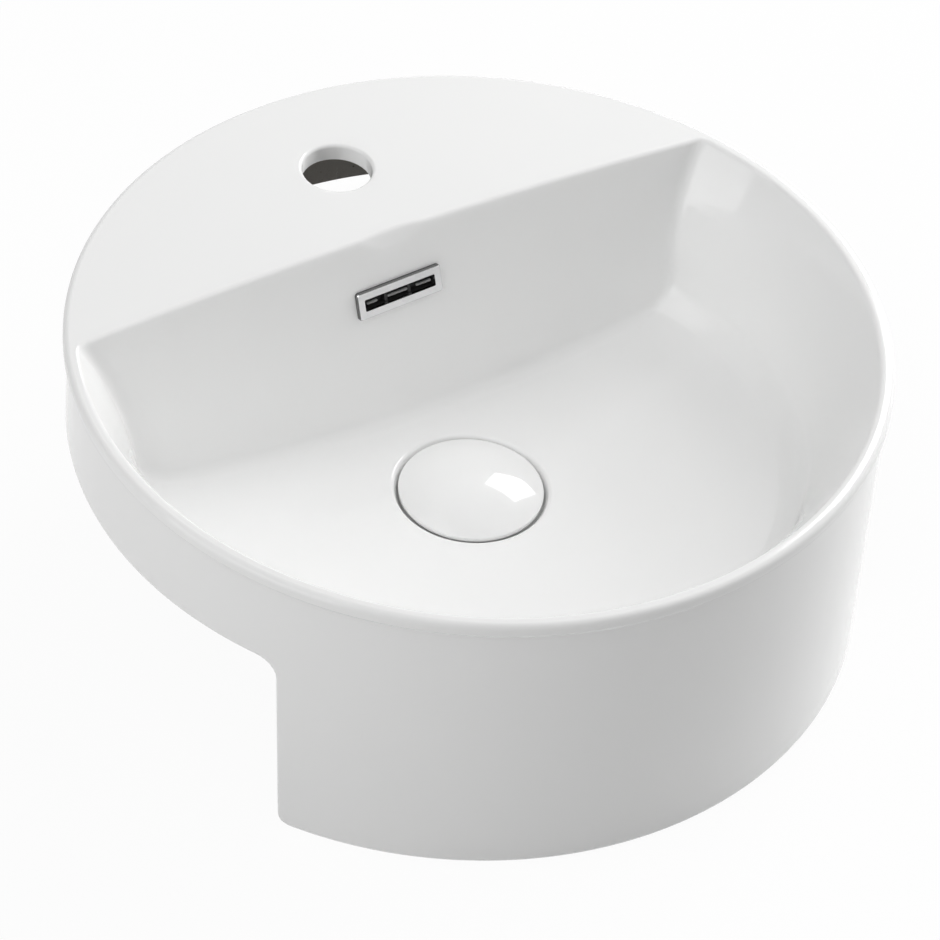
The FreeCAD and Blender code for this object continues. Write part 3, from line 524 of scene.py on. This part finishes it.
def overflow_duct(biscuit):
    """The duct's outside: a bent strip of even thickness, carried straight across x, with rounded long edges."""
    gap, skin, half_w = 5.0, 7.0, 35.0
    top = np.array(on_back_wall(TRIM_DOWN - 12.0 - skin, SHELL + gap))
    along = np.array([-sin(SLOPE), -cos(SLOPE)])
    outlet_z = SEAT_Z - 12.0
    elbow = top + along * ((outlet_z + gap - top[1]) / along[1])
    end = np.array([WASTE_Y + HOLE_R + 4.0, outlet_z])
    run = (end - elbow) / np.hypot(*(end - elbow))
    reach = gap + skin
    n1, n2 = np.array([along[1], -along[0]]), np.array([run[1], -run[0]])
    bisect = (n1 + n2) / np.hypot(*(n1 + n2))
    mitre = bisect * reach / (bisect @ n1)
    outline = rounded(
        [top, top + n1 * reach, elbow + mitre, end + n2 * reach,
         end - n2 * reach, elbow - mitre, top - n1 * reach, top],
        [0, 3, 5, 0, 0, 15, 3, 0],
    )[:-1]
    x = np.array([-half_w, -half_w + 0.6, -half_w + 2, half_w - 2, half_w - 0.6, half_w])
    middle = outline.mean(0)
    shrink = np.array([1.4, 0.4, 0.0, 0.0, 0.4, 1.4])
    inward = middle - outline
    inward = inward / np.linalg.norm(inward, axis=1, keepdims=True)
    strip = outline + inward * shrink[:, None, None]
    grid = np.concatenate([np.broadcast_to(x[:, None, None], strip.shape[:2] + (1,)), strip], -1)
    return make_piece("overflow_duct", grid.reshape(-1, 3), tube_faces(*strip.shape[:2]), materials=[biscuit])


def sleeve_bars(material):
    """Three round-ended louvre bars in the sleeve's bays. Each is a row of rings, (cos a, sin a) * radius, whose
    radius is the bar's all along and falls as cos(swing) over the half ball at either end."""
    middle, turn = trim_frame()
    swing = np.linspace(-pi / 2, pi / 2, 9)[1:-1]
    reach = np.concatenate([[-1.0], np.sin(swing), [1.0]])
    radius = np.concatenate([[0.05], np.cos(swing), [0.05]]) * BAR_R
    a = np.linspace(0, 2 * pi, 16, endpoint=False)
    behind = BAR_BEHIND + radius[:, None] * np.cos(a)
    up = BAR_UP + radius[:, None] * np.sin(a)
    points, faces = [], []
    for start, stop in SLEEVE_BARS:
        x = np.where(reach < 0, start + BAR_R, stop - BAR_R) + reach * BAR_R
        faces += tube_faces(*up.shape, first=len(points) * up.size)
        points.append(np.stack([np.broadcast_to(x[:, None], up.shape), behind, up], -1).reshape(-1, 3))
    return make_piece("sleeve_bars", np.concatenate(points) @ turn.T + middle, faces, materials=[material])


# ---------------------------------------------------------------- materials
class Socket:
    """A shader value that can be written as arithmetic: each operator adds a Math node."""

    def __init__(self, kit, link):
        self.kit, self.link = kit, link

    def _math(self, operation, other, swap=False):
        inputs = [other, self] if swap else [self, other]
        return self.kit.node("ShaderNodeMath", {"operation": operation}, dict(enumerate(inputs)))

    def __add__(self, other):
        return self._math("ADD", other)

    def __sub__(self, other):
        return self._math("SUBTRACT", other)

    def __rsub__(self, other):
        return self._math("SUBTRACT", other, swap=True)

    def __mul__(self, other):
        return self._math("MULTIPLY", other)

    __radd__, __rmul__ = __add__, __mul__

    def larger(self, other):
        """The larger of two values."""
        return self._math("MAXIMUM", other)

    def clamped(self, low, high):
        """The value eased from 0 at low to 1 at high."""
        ends = {"Value": self, "From Min": low, "From Max": high}
        return self.kit.node("ShaderNodeMapRange", {"interpolation_type": "SMOOTHSTEP"}, ends)


class Kit:
    """A node tree under construction."""

    def __init__(self, owner, keep=False):
        owner.use_nodes = True
        self.tree = owner.node_tree
        if not keep:
            self.tree.nodes.clear()

    def fill(self, socket, value):
        """Puts a number, a colour or another node's value on a socket."""
        if isinstance(value, Socket):
            self.tree.links.new(value.link, socket)
        else:
            socket.default_value = value

    def node(self, kind, settings=None, inputs=None, output=0):
        """Adds a node: its settings first, then the values or links of its sockets. Returns one output, if any."""
        node = self.tree.nodes.new(kind)
        for key, value in (settings or {}).items():
            setattr(node, key, value)
        for key, value in (inputs or {}).items():
            self.fill(node.inputs[key], value)
        return Socket(self, node.outputs[output]) if node.outputs else None

    def blend(self, mask, low, high):
        """A colour that goes from low to high with a mask."""
        return self.node("ShaderNodeMix", {"data_type": "RGBA"}, {0: mask, 6: low, 7: high}, output=2)


class Finish(Kit):
    """A material under construction, with one Principled shader."""

    def __init__(self, name, **shader):
        self.material = bpy.data.materials.new(name)
        super().__init__(self.material, keep=True)
        self.shader = self.tree.nodes["Principled BSDF"]
        for key, value in shader.items():
            self.set(key.title().replace("Ior", "IOR"), value)

    def set(self, name, value):
        """Puts a number or a link on one of the shader's sockets."""
        self.fill(self.shader.inputs[name], value)

    def place(self):
        """Object coordinates, in metres."""
        return self.node("ShaderNodeTexCoord", output="Object")

    def noise(self, scale, detail=3.0, rough=0.5, stretch=None):
        """A noise value about 0.5 on object coordinates, scale in repeats per metre."""
        place = self.place()
        if stretch:
            place = self.node("ShaderNodeMapping", None, {"Vector": place, "Scale": stretch})
        settings = {"Vector": place, "Scale": scale, "Detail": detail, "Roughness": rough}
        return self.node("ShaderNodeTexNoise", None, settings)

    def tint(self, mask, low, high):
        """A colour that goes from low to high, given without alpha, with a mask."""
        return self.blend(mask, tuple(low) + (1.0,), tuple(high) + (1.0,))

    def relief(self, height, depth, strength=1.0):
        """A bump from a height in 0..1, with its depth in metres."""
        values = {"Height": height, "Distance": depth, "Strength": strength}
        self.set("Normal", self.node("ShaderNodeBump", None, values))


def glaze_finish(name):
    """White vitreous glaze: a faint long wave in the surface, tiny pits, and colour that drifts very slightly."""
    f = Finish(name, roughness=0.07, ior=1.52)
    drift = f.noise(9.0, 2.0)
    f.set("Base Color", f.tint(drift, (0.885, 0.888, 0.885), (0.905, 0.905, 0.900)))
    f.set("Roughness", 0.055 + f.noise(60.0, 3.0) * 0.04)
    wave = f.noise(26.0, 1.0) * 0.8 + f.noise(220.0, 2.0) * 0.02
    f.relief(wave, 0.00012, 0.6)
    return f.material


def biscuit_finish():
    """Bare fired clay on the hidden faces: matt, with dark specks and a sandy grain, its grey-buff tone darker than
    the clay is, as painted shade.
    """
    f = Finish("bare_clay_painted_shade", roughness=0.86)
    speck = f.node("ShaderNodeTexVoronoi", None, {"Vector": f.place(), "Scale": 330.0})
    specks = 1.0 - speck.clamped(0.10, 0.24)
    patch = f.noise(35.0, 4.0)
    keep = f.noise(120.0, 2.0).clamped(0.50, 0.60)
    # Painted shade: the grey-buff tone is darker than bare fired clay, standing in for the shade inside the hollow
    # underside.
    clay_with_painted_shade = f.tint(patch, (0.21, 0.20, 0.185), (0.29, 0.278, 0.26))
    f.set("Base Color", f.blend(specks * keep * 0.75, clay_with_painted_shade, (0.07, 0.06, 0.05, 1.0)))
    f.set("Roughness", 0.80 + patch * 0.12)
    f.relief(f.noise(900.0, 3.0), 0.0003, 0.5)
    return f.material


def trim_painted_reflection_mask(finish):
    """1 on the overflow trim's top and left edges, where a dark painted reflection goes, and 0 elsewhere, from
    distances along the trim's own axes.
    """
    middle, turn = trim_frame()
    place = finish.node("ShaderNodeVectorMath", {"operation": "SUBTRACT"}, {0: finish.place(), 1: tuple(middle * MM)})

    def past(axis, start):
        """Eases to 1 beyond the start of the bevel along an axis, in millimetres."""
        along = finish.node("ShaderNodeVectorMath", {"operation": "DOT_PRODUCT"}, {0: place, 1: tuple(axis)}, output=1)
        return (along * 1000.0).clamped(start - 0.05, start + 0.15)

    top = past(turn[:, 2], TRIM_HALF_H - TRIM_BEVEL)
    left = past(-turn[:, 0], TRIM_HALF_W - TRIM_BEVEL)
    return 1.0 - (1.0 - top) * (1.0 - left)


def chrome_finish(name, rough, low, high, edges=None):
    """Bright chrome plate with very fine wipe marks. Its edges, where given, are a painted reflection: a dark tone
    that stands for the dark room they would mirror."""
    f = Finish(name, metallic=1.0)
    wipe = f.noise(70.0, 4.0, 0.6, stretch=(1.0, 5.0, 5.0))
    plate = f.tint(wipe, low, high)
    # Painted reflection: the masked edges get a flat dark grey in place of the dark room the chrome would mirror.
    f.set("Base Color", f.blend(edges(f), plate, (0.15, 0.15, 0.15, 1.0)) if edges else plate)
    f.set("Roughness", rough + wipe * 0.05)
    f.relief(f.noise(400.0, 2.0), 0.00001, 0.3)
    return f.material


def brass_finish():
    """Turned brass: fine rings, a little dulled."""
    f = Finish("turned_brass", metallic=1.0)
    dull = f.noise(90.0, 4.0)
    f.set("Base Color", f.tint(dull, (0.62, 0.45, 0.17), (0.78, 0.60, 0.29)))
    f.set("Roughness", 0.22 + dull * 0.16)
    bands = {"wave_type": "BANDS", "bands_direction": "Z"}
    turns = f.node("ShaderNodeTexWave", bands, {"Vector": f.place(), "Scale": 420.0, "Distortion": 0.6}, output=1)
    f.relief(turns, 0.00003, 0.5)
    return f.material


def rubber_finish():
    """Black moulded rubber with a dusty bloom."""
    f = Finish("moulded_rubber")
    bloom = f.noise(140.0, 4.0)
    f.set("Base Color", f.tint(bloom, (0.018, 0.018, 0.018), (0.050, 0.049, 0.047)))
    f.set("Roughness", 0.62 + bloom * 0.2)
    f.relief(f.noise(1400.0, 2.0), 0.00004, 0.5)
    return f.material


def plastic_finish(name, low, high, rough=0.4, grain=900.0):
    """Moulded plastic: slight mottling, satin surface and a fine spark-eroded grain."""
    f = Finish(name)
    mottle = f.noise(60.0, 3.0)
    f.set("Base Color", f.tint(mottle, low, high))
    f.set("Roughness", rough + mottle * 0.1)
    f.relief(f.noise(grain, 2.0), 0.00003, 0.5)
    return f.material


def steel_finish():
    """Spring steel wire, bright with drawn streaks."""
    f = Finish("spring_wire", metallic=1.0)
    streak = f.noise(500.0, 3.0)
    f.set("Base Color", f.tint(streak, (0.42, 0.42, 0.43), (0.62, 0.62, 0.63)))
    f.set("Roughness", 0.25 + streak * 0.12)
    return f.material


def resin_finish():
    """Cured amber-white adhesive."""
    f = Finish("cured_resin")
    cloud = f.noise(120.0, 4.0)
    f.set("Base Color", f.tint(cloud, (0.62, 0.58, 0.46), (0.78, 0.75, 0.66)))
    f.set("Roughness", 0.35 + cloud * 0.15)
    return f.material


glaze, cap_glaze = glaze_finish("white_glaze"), glaze_finish("cap_glaze")
biscuit = biscuit_finish()

DRESS = {
    "overflow_trim": chrome_finish("trim_chrome", 0.08, (0.81, 0.81, 0.82), (0.86, 0.86, 0.87), trim_painted_reflection_mask),
    "overflow_sleeve": plastic_finish("sleeve_black", (0.012, 0.012, 0.012), (0.022, 0.022, 0.022), 0.45),
    "waste_body": chrome_finish("waste_chrome", 0.10, (0.75, 0.75, 0.76), (0.80, 0.80, 0.81)),
    "flange_gasket": rubber_finish(),
    "slip_washer": plastic_finish("slip_nylon", (0.70, 0.69, 0.65), (0.80, 0.79, 0.76), 0.35),
    "lock_nut": brass_finish(),
    "strainer_cross": plastic_finish("cross_acetal", (0.76, 0.76, 0.73), (0.84, 0.84, 0.82), 0.38),
    "click_rotor": plastic_finish("rotor_acetal", (0.62, 0.20, 0.05), (0.72, 0.26, 0.08), 0.4),
    "click_spring": steel_finish(),
    "dome_cap": cap_glaze,
    "cap_bond": resin_finish(),
}
DRESS["lower_washer"] = DRESS["cap_seal"] = DRESS["stem_seal"] = DRESS["flange_gasket"]
DRESS["cartridge_housing"] = DRESS["cartridge_plug"] = DRESS["strainer_cross"]
DRESS["cap_carrier"] = DRESS["lock_nut"]
DRESS["click_stem"] = DRESS["waste_body"]
for node, finish in DRESS.items():
    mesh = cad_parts[node].data
    mesh.materials.clear()
    mesh.materials.append(finish)

# ---------------------------------------------------------------- ceramic pieces
shell = basin_shell(glaze, biscuit)
carve(shell, tap_cutter(glaze))
carve(shell, slot_cutter(biscuit))
duct = overflow_duct(biscuit)
carve(duct, slot_cutter(biscuit))
for piece in (shell, duct, waste_boss(biscuit), apron_back(biscuit)):
    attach(piece, "basin")
    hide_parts("basin_body")
bars = sleeve_bars(plastic_finish("bar_grey", (0.22, 0.22, 0.22), (0.30, 0.30, 0.30), 0.3))
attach(bars, "basin")


# ---------------------------------------------------------------- the studio's pieces
def seen_rays(kit):
    """1 for rays of the camera, of reflections and through clear things, and 0 for the rays that light surfaces."""
    rays = "Is Camera Ray", "Is Glossy Ray", "Is Transmission Ray"
    camera, glossy, through = (kit.node("ShaderNodeLightPath", output=ray) for ray in rays)
    return camera.larger(glossy).larger(through)


def stage_finish(name, seen, share):
    """Pale stage paint. Seen by the camera and in reflections it is mostly a plain white, so a soft shadow stays."""
    material = bpy.data.materials.new(name)
    kit = Kit(material)
    paint = kit.node("ShaderNodeBsdfDiffuse", None, {"Color": (0.80, 0.80, 0.80, 1.0)})
    glow = kit.node("ShaderNodeEmission", None, {"Color": (seen, seen, seen, 1.0)})
    mix = kit.node("ShaderNodeMixShader", None, {0: seen_rays(kit) * share, 1: paint, 2: glow})
    kit.node("ShaderNodeOutputMaterial", None, {"Surface": mix})
    return material


def studio_floor():
    """A flat floor under the apron's lower edge."""
    mesh = bpy.data.meshes.new("studio_floor")
    w = 6.0
    mesh.from_pydata([(-w, -w, 0), (w, -w, 0), (w, w, 0), (-w, w, 0)], [], [(0, 1, 2, 3)])
    mesh.materials.append(stage_finish("stage_white", 1.0, 0.95))
    floor = bpy.data.objects.new("studio_floor", mesh)
    bpy.context.scene.collection.objects.link(floor)


def softbox(name, azimuth, elevation, distance, size, power, mirrored):
    """A soft rectangular lamp that faces the basin from a plan azimuth and an elevation in degrees."""
    turn, lift = radians(azimuth), radians(elevation)
    away = Vector((cos(turn) * cos(lift), sin(turn) * cos(lift), sin(lift)))
    data = bpy.data.lights.new(name, "AREA")
    data.shape = "RECTANGLE"
    data.size, data.size_y = size
    data.energy = power
    lamp = bpy.data.objects.new(name, data)
    lamp.location = Vector((0, 0, 0.1)) + away * distance
    lamp.rotation_euler = (-away).to_track_quat("-Z", "Y").to_euler()
    lamp.visible_glossy = mirrored
    bpy.context.scene.collection.objects.link(lamp)


def studio_world():
    """A faint even surround that the camera and the reflections see as white."""
    world = bpy.data.worlds.new("studio")
    kit = Kit(world)
    soft = kit.node("ShaderNodeBackground", None, {"Color": (1.0, 1.0, 1.0, 1.0), "Strength": 0.08})
    white = kit.node("ShaderNodeBackground", None, {"Color": (1.0, 1.0, 1.0, 1.0), "Strength": 1.0})
    mix = kit.node("ShaderNodeMixShader", None, {0: seen_rays(kit), 1: soft, 2: white})
    kit.node("ShaderNodeOutputWorld", None, {"Surface": mix})
    bpy.context.scene.world = world


def photo_camera():
    """The photograph's viewpoint: turned to the basin's left front, looking down, rolled a little, long lens."""
    turn, lift, roll = CAMERA_TURN, CAMERA_LIFT, CAMERA_ROLL
    back = np.array([sin(turn) * cos(lift), -cos(turn) * cos(lift), sin(lift)])
    level_right = np.array([cos(turn), sin(turn), 0.0])
    level_up = np.cross(back, level_right)
    right = cos(roll) * level_right + sin(roll) * level_up
    up = -sin(roll) * level_right + cos(roll) * level_up
    data = bpy.data.cameras.new("photo_camera")
    data.sensor_fit = "HORIZONTAL"
    data.sensor_width = SENSOR
    data.lens = CAMERA_FOCAL_PX / PHOTO_PX * SENSOR
    camera = bpy.data.objects.new("photo_camera", data)
    matrix = np.identity(4)
    matrix[:3] = np.stack([right, up, back, (np.array(CAMERA_AIM) + back * CAMERA_AWAY) * MM], 1)
    camera.matrix_world = Matrix(matrix.tolist())
    bpy.context.scene.collection.objects.link(camera)
    bpy.context.scene.camera = camera


studio_floor()
studio_world()
for lamp in LAMPS:
    softbox(*lamp)
photo_camera()

scene = bpy.context.scene
scene.view_settings.view_transform = "Standard"
